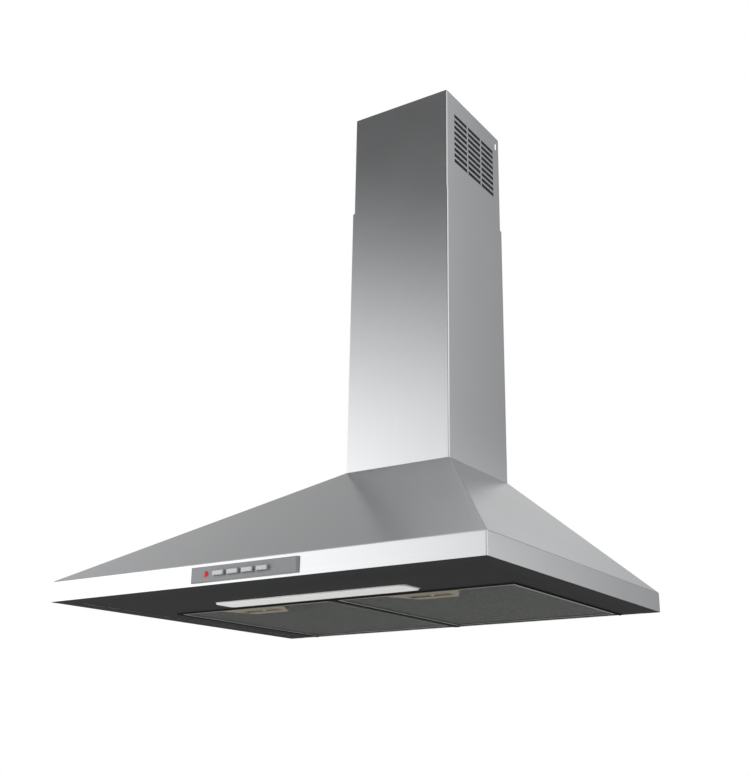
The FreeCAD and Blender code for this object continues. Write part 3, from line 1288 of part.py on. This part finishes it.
def export():
    """Writes each sub-part as its own file, once every item has come out sound."""
    for item in doc.Objects:
        if "Invalid" in item.State or "Error" in item.State:
            raise RuntimeError(f"{item.Name} has not come out: {item.State}")
    for item in nodes:
        if item.Shape.isNull() or not item.Shape.isValid():
            raise RuntimeError(f"{item.Label} has no sound shape")
    os.makedirs("parts", exist_ok=True)
    for item in nodes:
        item.Shape.exportStep(f"parts/{item.Label}.step")


build()
export()
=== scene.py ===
"""Looks of the chimney range hood: materials, the filters' expanded mesh, studio and camera."""
import itertools
import json
import math

import bmesh
import bpy
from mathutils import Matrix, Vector


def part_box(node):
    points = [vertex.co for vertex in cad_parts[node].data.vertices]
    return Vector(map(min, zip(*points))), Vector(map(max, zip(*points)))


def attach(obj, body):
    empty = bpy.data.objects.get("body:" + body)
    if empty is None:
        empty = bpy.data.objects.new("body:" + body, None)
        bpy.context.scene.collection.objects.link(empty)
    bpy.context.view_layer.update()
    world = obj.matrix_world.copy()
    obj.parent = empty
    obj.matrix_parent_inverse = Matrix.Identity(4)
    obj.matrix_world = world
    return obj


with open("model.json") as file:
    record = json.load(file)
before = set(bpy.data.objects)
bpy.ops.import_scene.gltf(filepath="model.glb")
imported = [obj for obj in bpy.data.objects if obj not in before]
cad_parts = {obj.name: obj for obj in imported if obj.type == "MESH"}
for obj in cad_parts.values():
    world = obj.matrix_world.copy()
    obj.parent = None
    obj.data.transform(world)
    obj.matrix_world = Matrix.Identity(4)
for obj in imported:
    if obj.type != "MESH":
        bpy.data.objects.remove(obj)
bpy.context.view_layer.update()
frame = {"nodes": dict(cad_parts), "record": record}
NODES = frame["nodes"]
MM = 0.001


def placed(name, data):
    """A new object of the data, in the scene."""
    item = bpy.data.objects.new(name, data)
    bpy.context.scene.collection.objects.link(item)
    return item


# ---- Node helpers --------------------------------------------------------------------------------

# The mix node's sockets for each kind of data: the low input, the high input and the result.
MIX_SOCKETS = {"FLOAT": (2, 3, 0), "RGBA": (6, 7, 2)}


def new_material(name, colour, metallic=0.0, roughness=0.5, **sockets):
    """A principled material with constant values, its node tree and its shader."""
    mat = bpy.data.materials.new(name)
    mat.use_nodes = True
    shader = mat.node_tree.nodes["Principled BSDF"]
    shader.inputs["Base Color"].default_value = (*colour, 1)
    shader.inputs["Metallic"].default_value = metallic
    shader.inputs["Roughness"].default_value = roughness
    for socket, number in sockets.items():
        shader.inputs[socket.replace("_", " ")].default_value = number
    return mat, mat.node_tree, shader


def add(tree, kind, **settings):
    """A node of a kind with its properties set."""
    item = tree.nodes.new("ShaderNode" + kind)
    for name, number in settings.items():
        setattr(item, name, number)
    return item


def link(tree, source, target):
    """Leads a node's output to another node's input."""
    tree.links.new(source, target)


def coordinates(tree, scale):
    """Object coordinates in metres, stretched per axis."""
    place = add(tree, "TexCoord")
    mapping = add(tree, "Mapping")
    mapping.inputs["Scale"].default_value = scale
    link(tree, place.outputs["Object"], mapping.inputs["Vector"])
    return mapping.outputs["Vector"]


def noise(tree, scale, detail):
    """Noise in object space; scale is in cycles per metre along each axis."""
    item = add(tree, "TexNoise")
    item.inputs["Scale"].default_value = 1.0
    item.inputs["Detail"].default_value = detail
    item.inputs["Roughness"].default_value = 0.55
    link(tree, coordinates(tree, scale), item.inputs["Vector"])
    return item.outputs["Fac"]


def ranged(tree, source, low, high, start=0.3, stop=0.7, **settings):
    """The source mapped from start..stop onto low..high; noise mostly stays within 0.3..0.7."""
    item = add(tree, "MapRange", **settings)
    ends = (("From Min", start), ("From Max", stop), ("To Min", low), ("To Max", high))
    for name, number in ends:
        item.inputs[name].default_value = number
    link(tree, source, item.inputs["Value"])
    return item.outputs["Result"]


def between(tree, factor, low, high, kind="FLOAT"):
    """A number between two, each a socket or a constant, led by the factor."""
    item = add(tree, "Mix", data_type=kind)
    link(tree, factor, item.inputs[0])
    low_place, high_place, result = MIX_SOCKETS[kind]
    for socket, part in ((item.inputs[low_place], low), (item.inputs[high_place], high)):
        if isinstance(part, bpy.types.NodeSocket):
            link(tree, part, socket)
        else:
            socket.default_value = part if kind == "FLOAT" else (*part, 1)
    return item.outputs[result]


def tinted(tree, factor, low, high):
    """A colour between two, each a socket or a constant, led by the factor."""
    return between(tree, factor, low, high, "RGBA")


def mottled(tree, shader, factor, colour, spread):
    """Shades the base colour from darker to lighter by the spread, led by the factor."""
    dark = [c * (1 - spread) for c in colour]
    light = [min(c * (1 + spread), 1) for c in colour]
    link(tree, tinted(tree, factor, dark, light), shader.inputs["Base Color"])


def bumped(tree, shader, source, distance, strength=1.0):
    """Raises the surface by the source, with a height in metres."""
    item = add(tree, "Bump")
    item.inputs["Strength"].default_value = strength
    item.inputs["Distance"].default_value = distance
    link(tree, source, item.inputs["Height"])
    link(tree, item.outputs["Normal"], shader.inputs["Normal"])


# ---- Materials -----------------------------------------------------------------------------------

STEEL = (0.765, 0.775, 0.79)
# Painted shade: the dark colour that the canopy's underside takes instead of mirroring the floor.
UNDERSIDE_SHADE = (0.020, 0.0204, 0.0208)
LINER = (0.018, 0.0184, 0.0188)
DARK_ROUGHNESS, DARK_SPECULAR = 0.5, 0.02
# The canopy has painted shade up to the first height above its lower edge, and is bare from the
# second.
SHADE_FADE = (0.2 * MM, 0.5 * MM)
GROOVE_DEPTH, GROOVE_STRENGTH = 0.004 * MM, 0.3
# Cycles per metre of the slow changes on sheet and on paint, and of the zinc's crystals.
SHEET_CLOUDS, PAINT_CLOUDS, CRYSTALS = (5, 5, 5), (14, 14, 14), (140, 140, 140)


def brushed_steel(name, colour, grain, roughness=0.21, patch=0.014):
    """Sheet metal with fine lines along the directions whose grain is low."""
    mat, tree, shader = new_material(name, colour, metallic=1.0, roughness=roughness)
    lines = noise(tree, grain, detail=3)
    clouds = noise(tree, SHEET_CLOUDS, detail=2)
    mottled(tree, shader, ranged(tree, lines, 0, 1), colour, patch)
    rough = ranged(tree, clouds, roughness - 0.01, roughness + 0.015)
    link(tree, rough, shader.inputs["Roughness"])
    bumped(tree, shader, lines, GROOVE_DEPTH, GROOVE_STRENGTH)
    return mat


def painted(name, colour, roughness, peel=700, spread=0.12, height=0.03 * MM, metallic=0.0,
            **sockets):
    """Paint or moulded plastic with a fine skin and faint unevenness."""
    mat, tree, shader = new_material(name, colour, metallic, roughness, **sockets)
    skin = noise(tree, (peel, peel, peel), detail=3)
    clouds = noise(tree, PAINT_CLOUDS, detail=3)
    mottled(tree, shader, ranged(tree, clouds, 0, 1), colour, spread)
    link(tree, ranged(tree, skin, roughness - 0.05, roughness + 0.06), shader.inputs["Roughness"])
    bumped(tree, shader, skin, height)
    return mat


def zinc(name, colour):
    """Zinc-plated sheet with a faint spangle."""
    mat, tree, shader = new_material(name, colour, metallic=1.0, roughness=0.38)
    cells = add(tree, "TexVoronoi")
    cells.inputs["Scale"].default_value = 1.0
    link(tree, coordinates(tree, CRYSTALS), cells.inputs["Vector"])
    split = add(tree, "SeparateColor")
    link(tree, cells.outputs["Color"], split.inputs["Color"])
    mottled(tree, shader, split.outputs["Red"], colour, 0.1)
    link(tree, ranged(tree, split.outputs["Green"], 0.3, 0.46, 0, 1), shader.inputs["Roughness"])
    return mat


def canopy_steel():
    """Brushed steel whose underside, below the fold, is darkened like the liner as painted shade.
    """
    mat = brushed_steel("canopy_steel", STEEL, (5, 60, 900), 0.25)
    tree = mat.node_tree
    shader = tree.nodes["Principled BSDF"]
    bare = shader.inputs["Base Color"].links[0].from_socket
    rough = shader.inputs["Roughness"].links[0].from_socket
    place = add(tree, "TexCoord")
    split = add(tree, "SeparateXYZ")
    link(tree, place.outputs["Object"], split.inputs["Vector"])
    # Painted shade: below the fold the steel turns dark, matt and not metallic.
    under = ranged(tree, split.outputs["Z"], 1, 0, *SHADE_FADE)
    link(tree, tinted(tree, under, bare, UNDERSIDE_SHADE), shader.inputs["Base Color"])
    link(tree, ranged(tree, under, 1, 0, 0, 1), shader.inputs["Metallic"])
    link(tree, between(tree, under, rough, DARK_ROUGHNESS), shader.inputs["Roughness"])
    shader.inputs["Specular IOR Level"].default_value = DARK_SPECULAR
    return mat


MATERIALS = {
    "stainless": brushed_steel("chimney_steel", STEEL, (900, 900, 4)),
    "liner_paint": painted("liner_paint", LINER, DARK_ROUGHNESS, spread=0.06, height=0.01 * MM,
                           Specular_IOR_Level=DARK_SPECULAR),
    "zinc_steel": zinc("zinc_steel", (0.62, 0.64, 0.66)),
    "filter_aluminium": brushed_steel("filter_aluminium", (0.42, 0.43, 0.42), (60, 60, 700), 0.36),
    "mesh_aluminium": painted("mesh_aluminium", (0.132, 0.14, 0.135), 0.5, metallic=0.6),
    "latch_plastic": painted("latch_plastic", (0.18, 0.157, 0.112), 0.55, spread=0.08),
    "slide_plastic": painted("slide_plastic", (0.15, 0.13, 0.094), 0.55, spread=0.08),
    "spring_steel": brushed_steel("spring_steel", (0.6, 0.6, 0.6), (300, 300, 300), 0.3),
    "opal_plastic": painted("opal_plastic", (0.80, 0.80, 0.79), 0.35, spread=0.02,
                            height=0.01 * MM),
    "reflector": painted("reflector", (0.80, 0.80, 0.78), 0.3, spread=0.04),
    "ceramic_white": painted("ceramic_white", (0.76, 0.73, 0.66), 0.4, spread=0.05),
    "bulb_glass": painted("bulb_glass", (0.92, 0.92, 0.90), 0.25, spread=0.02,
                          Transmission_Weight=0.6),
    "bezel_silver": painted("bezel_silver", (0.255, 0.26, 0.27), 0.38, peel=2500, spread=0.03,
                            metallic=0.5),
    "key_silver": painted("key_silver", (0.46, 0.465, 0.475), 0.24, peel=2500, spread=0.03,
                          metallic=0.6),
    "pilot_red": painted("pilot_red", (0.60, 0.014, 0.014), 0.25, spread=0.05, Coat_Weight=0.5),
    "black_plastic": painted("black_plastic", (0.010, 0.010, 0.011), 0.5, Specular_IOR_Level=0.2),
    "housing_plastic": painted("housing_plastic", (0.030, 0.030, 0.032), 0.55),
    "wheel_plastic": painted("wheel_plastic", (0.055, 0.055, 0.06), 0.5),
    "motor_paint": painted("motor_paint", (0.10, 0.105, 0.115), 0.4, metallic=0.4),
    "rubber_black": painted("rubber_black", (0.018, 0.018, 0.018), 0.7, peel=1500),
    "spigot_plastic": painted("spigot_plastic", (0.62, 0.62, 0.60), 0.5, spread=0.05),
    "white_plastic": painted("white_plastic", (0.74, 0.74, 0.72), 0.45, spread=0.04),
}
CANOPY = canopy_steel()
WIRE = brushed_steel("expanded_aluminium", (0.20, 0.21, 0.20), (300, 300, 300), 0.42, patch=0.2)


def dress():
    """Gives every CAD node the material of its slot, and the canopy its own."""
    for row in frame["record"]["subparts"]:
        mesh = NODES[row["node"]].data
        mesh.materials.clear()
        slot = MATERIALS[row["material_slot"]]
        mesh.materials.append(CANOPY if row["node"] == "canopy_shell" else slot)


# ---- Filter mesh ---------------------------------------------------------------------------------

FRAME_LIP = 3.5 * MM
DIAMOND_LONG, DIAMOND_SHORT = 6 * MM, 3 * MM
STRAND_WIDTH, STRAND_GAUGE = 0.5 * MM, 0.35 * MM
# A strand's bends, as distances from the middle of its row in parts of the diamond's short side.
NEAR_BEND, FAR_BEND = 0.08, 0.42
# The latch housing's widths and depth in mm, closing in to the rear, and the room left round it.
LATCH_FRONT, LATCH_REAR, LATCH_DEPTH = 100, 52, 42
LATCH_ROOM = 2 * MM


def strand(points, corners, faces):
    """A flat bar with closed ends along the points, added to the lists."""
    start = len(corners)
    for x, y, z in points:
        for dy, dz in ((-0.5, 0), (0.5, 0), (0.5, 1), (-0.5, 1)):
            corners.append((x, y + dy * STRAND_WIDTH, z + dz * STRAND_GAUGE))
    last = start + 4 * (len(points) - 1)
    for base in range(start, last, 4):
        for k in range(4):
            turn = (k + 1) % 4
            faces.append((base + k, base + 4 + k, base + 4 + turn, base + turn))
    faces.append((start, start + 1, start + 2, start + 3))
    faces.append((last + 3, last + 2, last + 1, last))


def expanded_mesh(label):
    """The slit and stretched aluminium layer on a filter's face, left open round the latch."""
    low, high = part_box(f"filter_frame_{label}")
    latch_low, latch_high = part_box(f"latch_housing_{label}")
    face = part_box(f"filter_mesh_{label}")[0][2]
    middle, half = (latch_low[0] + latch_high[0]) / 2, (latch_high[0] - latch_low[0]) / 2
    x0, x1 = low[0] + FRAME_LIP, high[0] - FRAME_LIP
    y0, y1 = low[1] + FRAME_LIP, high[1] - FRAME_LIP
    taper = (LATCH_FRONT - LATCH_REAR) / 2 / LATCH_DEPTH

    def taken(point):
        """Whether the latch or its room covers the point."""
        depth = point[1] - latch_low[1]
        return (depth < latch_high[1] - latch_low[1] + LATCH_ROOM
                and abs(point[0] - middle) < half - taper * depth + LATCH_ROOM)

    corners, faces = [], []
    steps = int((x1 - x0) / (DIAMOND_LONG / 2))
    rows = int((y1 - y0) / DIAMOND_SHORT)
    for row in range(rows):
        for side in (1, -1):
            wave = []
            for step in range(steps + 1):
                x = x0 + (x1 - x0) * step / steps
                bend = side * (FAR_BEND if step % 2 else NEAR_BEND)
                y = y0 + DIAMOND_SHORT * (row + 0.5 + bend)
                wave.append((x, y, face - STRAND_GAUGE))
            for hidden, run in itertools.groupby(wave, taken):
                points = list(run)
                if not hidden and len(points) > 1:
                    strand(points, corners, faces)
    mesh = bpy.data.meshes.new(f"filter_weave_{label}")
    mesh.from_pydata(corners, [], faces)
    mesh.materials.append(WIRE)
    piece = placed(f"filter_weave_{label}", mesh)
    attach(piece, f"filter_{label}")


# ---- Studio --------------------------------------------------------------------------------------

FLOOR_RADIUS, FLOOR_HEIGHT, FLOOR_SIDES = 9, -1.1, 96
# Each lamp's name, place, aim, diameter in metres and power in watts.
LAMPS = (
    ("left_soft", (-2.6, -2.4, 2.2), (0, -0.2, 0.3), 2.4, 60),
    ("right_soft", (2.8, -1.4, 1.6), (0, -0.2, 0.3), 2.2, 40),
    ("rear_soft", (0.5, 2.6, 2.4), (0, 0, 0.3), 2.4, 50),
    ("low_soft", (-1.35, -1.05, -0.55), (-0.2, -0.3, 0.0), 0.9, 15),
)


def studio():
    """A pale round floor and soft lamps that no metal mirrors."""
    floor_mesh = bpy.data.meshes.new("floor")
    built = bmesh.new()
    bmesh.ops.create_circle(built, cap_ends=True, segments=FLOOR_SIDES, radius=FLOOR_RADIUS)
    built.to_mesh(floor_mesh)
    built.free()
    floor = placed("floor", floor_mesh)
    floor.location = (0, 0, FLOOR_HEIGHT)
    mat = painted("floor_paint", (0.74, 0.74, 0.73), 0.7, peel=40, spread=0.02, height=0.2 * MM)
    floor_mesh.materials.append(mat)

    for name, place, aim, diameter, watts in LAMPS:
        lamp = bpy.data.lights.new(name, "AREA")
        lamp.shape = "DISK"
        lamp.size = diameter
        lamp.energy = watts
        holder = placed(name, lamp)
        holder.location = place
        holder.rotation_euler = (Vector(aim) - Vector(place)).to_track_quat("-Z", "Y").to_euler()
        holder.visible_glossy = False


# What metal and glass mirror: the studio's walls. Each has the azimuths that it fills, in degrees
# from the back towards the right, and stops of (height of the direction, radiance). Between two
# walls the one blends into the other.
AHEAD = ((-0.25, 0.40), (0.30, 0.40), (0.45, 0.15), (0.55, 0.0), (0.70, 0.20), (1.0, 0.50))
SOFT_BOX = ((-0.25, 1.52), (0.25, 1.42), (0.32, 1.08), (0.37, 0.76), (0.42, 0.45), (0.48, 0.17),
            (0.55, 0.0), (0.60, 0.08), (0.66, 0.80), (1.0, 0.80))
REAR_LEFT = ((-0.25, 0.12), (0.0, 0.15), (0.10, 0.25), (0.28, 0.40), (0.40, 0.62), (0.50, 0.48),
             (0.58, 0.30), (1.0, 0.32))
REAR = ((-0.25, 0.0), (0.0, 0.0), (0.16, 0.10), (0.26, 0.18), (0.33, 0.46), (0.38, 0.76),
        (0.50, 0.44), (0.58, 0.32), (1.0, 0.32))
DOORWAY = ((-0.25, 0.10), (0.0, 0.15), (0.19, 0.15), (0.27, 0.12), (0.36, 0.45), (0.50, 0.40),
           (0.70, 0.30), (1.0, 0.30))
SCREEN = ((-0.25, 0.35), (0.0, 0.58), (0.19, 0.56), (0.27, 0.20), (0.55, 0.18), (1.0, 0.30))
RIGHT_WALL = ((-0.25, 1.0), (0.0, 1.15), (0.19, 1.10), (0.27, 0.70), (0.55, 0.70), (1.0, 0.35))
WINDOW = ((-0.25, 0.50), (0.20, 0.60), (0.28, 1.15), (0.50, 1.10), (0.60, 0.70), (1.0, 0.40))
WALLS = ((-180, -168, AHEAD), (-138, -97, SOFT_BOX), (-66, -54, REAR_LEFT), (-34, -8, REAR),
         (8, 20, DOORWAY), (25, 26, SCREEN), (36, 80, RIGHT_WALL), (105, 140, WINDOW),
         (165, 180, AHEAD))
# A curve's values stay below 1, so it holds the radiances divided by this.
CURVE_SCALE = 2.0
# The level that lights matt surfaces, and what the camera sees behind the hood.
LIGHT_LEVEL, BACKDROP = 0.5, 1.0


def sky():
    """The world: white to the camera, a plain level for light, and the walls for reflections."""
    world = bpy.data.worlds.new("studio")
    bpy.context.scene.world = world
    world.use_nodes = True
    tree = world.node_tree
    shade = tree.nodes["Background"]
    place = add(tree, "TexCoord")
    split = add(tree, "SeparateXYZ")
    link(tree, place.outputs["Generated"], split.inputs["Vector"])

    def by_height(stops):
        """The stops as a smooth curve over the direction's height."""
        curve = add(tree, "FloatCurve")
        curve.mapping.use_clip = False
        points = curve.mapping.curves[0].points
        while len(points) < len(stops):
            points.new(0.5, 0.5)
        for point, (height, level) in zip(points, stops):
            point.location = (height, level / CURVE_SCALE)
            point.handle_type = "AUTO_CLAMPED"
        curve.mapping.update()
        link(tree, split.outputs["Z"], curve.inputs["Value"])
        return curve.outputs["Value"]

    turn = add(tree, "Math", operation="ARCTAN2")
    link(tree, split.outputs["X"], turn.inputs[0])
    link(tree, split.outputs["Y"], turn.inputs[1])
    walls = by_height(WALLS[0][2])
    for (_, stop, _), (start, _, stops) in zip(WALLS, WALLS[1:]):
        reached = ranged(tree, turn.outputs["Value"], 0, 1, math.radians(stop),
                         math.radians(start), interpolation_type="SMOOTHSTEP")
        walls = between(tree, reached, walls, by_height(stops))
    radiance = add(tree, "Math", operation="MULTIPLY")
    link(tree, walls, radiance.inputs[0])
    radiance.inputs[1].default_value = CURVE_SCALE
    path = add(tree, "LightPath")
    mirrored = add(tree, "Math", operation="MAXIMUM")
    link(tree, path.outputs["Is Glossy Ray"], mirrored.inputs[0])
    link(tree, path.outputs["Is Transmission Ray"], mirrored.inputs[1])
    seen = between(tree, mirrored.outputs["Value"], LIGHT_LEVEL, radiance.outputs["Value"])
    strength = between(tree, path.outputs["Is Camera Ray"], seen, BACKDROP)
    link(tree, strength, shade.inputs["Strength"])
    shade.inputs["Color"].default_value = (1, 1, 1, 1)


# ---- Camera --------------------------------------------------------------------------------------

# The photograph's viewpoint, solved from the hood's straight edges.
AZIMUTH, ELEVATION = math.radians(31.212), math.radians(-18.660)
EYE = (0.778522, -1.365067, -0.186527)
LENS, SENSOR_WIDTH = 50.318, 36
SHIFT_X, SHIFT_Y = -0.07126, 0.01354
CLIP_END = 50


def camera():
    """The camera, below the hood and to its right, looking up."""
    back = Vector((math.sin(AZIMUTH) * math.cos(ELEVATION),
                   -math.cos(AZIMUTH) * math.cos(ELEVATION), math.sin(ELEVATION)))
    data = bpy.data.cameras.new("camera")
    data.lens = LENS
    data.sensor_width = SENSOR_WIDTH
    data.shift_x = SHIFT_X
    data.shift_y = SHIFT_Y
    data.clip_end = CLIP_END
    eye = placed("camera", data)
    eye.location = EYE
    eye.rotation_euler = (-back).to_track_quat("-Z", "Y").to_euler()
    bpy.context.scene.camera = eye


# ---- The scene -----------------------------------------------------------------------------------

dress()
for label in ("left", "right"):
    expanded_mesh(label)
studio()
sky()
camera()
bpy.context.scene.view_settings.view_transform = "Standard"
